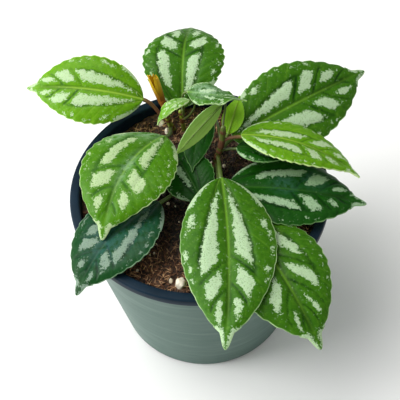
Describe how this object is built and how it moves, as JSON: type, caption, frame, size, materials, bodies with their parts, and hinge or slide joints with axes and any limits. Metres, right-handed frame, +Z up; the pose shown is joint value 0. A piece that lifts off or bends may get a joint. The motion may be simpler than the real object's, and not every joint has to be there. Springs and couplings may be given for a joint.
{
  "type": "potted aluminum plant",
  "caption": "Low foliage plant with broad toothed, drip-tipped leaves marked in silver on short leafy stems, rooted in soil in a tapered round nursery pot with a rolled rim.",
  "frame": {"origin": "centre of the pot's flat underside, on the surface that the pot stands on", "axes": "+Z up along the pot's axis, -Y towards the front of the plant, +X to the right seen from the front"},
  "size_m": [0.1446, 0.1596, 0.1127],
  "materials": {
    "pot_plastic": "satin sage green wall, blue-black rolled rim and inside",
    "potting_soil": "matte, crumbly peat and coir with a few grains of perlite",
    "green_stem": "satin, olive green turning brown at the nodes",
    "leaf": "satin, quilted dark green with silver patches",
    "young_leaf": "satin, lighter yellow-green with silver patches",
    "bud_scale": "satin amber to red-brown"
  },
  "bodies": {
    "root": {"pot": "pot_plastic", "soil": "potting_soil", "stem_right": "green_stem", "stem_left": "green_stem", "stem_left_small": "green_stem", "leaf_front": "leaf", "leaf_front_right": "leaf", "leaf_right_low": "leaf", "leaf_right_top": "leaf", "leaf_upper_right": "leaf", "leaf_under_right": "leaf", "leaf_far_left": "leaf", "leaf_back": "leaf", "leaf_left_front": "leaf", "leaf_left_low": "leaf", "leaf_middle_low": "leaf", "leaf_middle_drop": "leaf", "leaf_middle_pale": "young_leaf", "leaf_upright": "young_leaf", "leaf_curled_right": "young_leaf", "leaf_curled_left": "young_leaf", "bud": "bud_scale"}
  },
  "joints": []
}
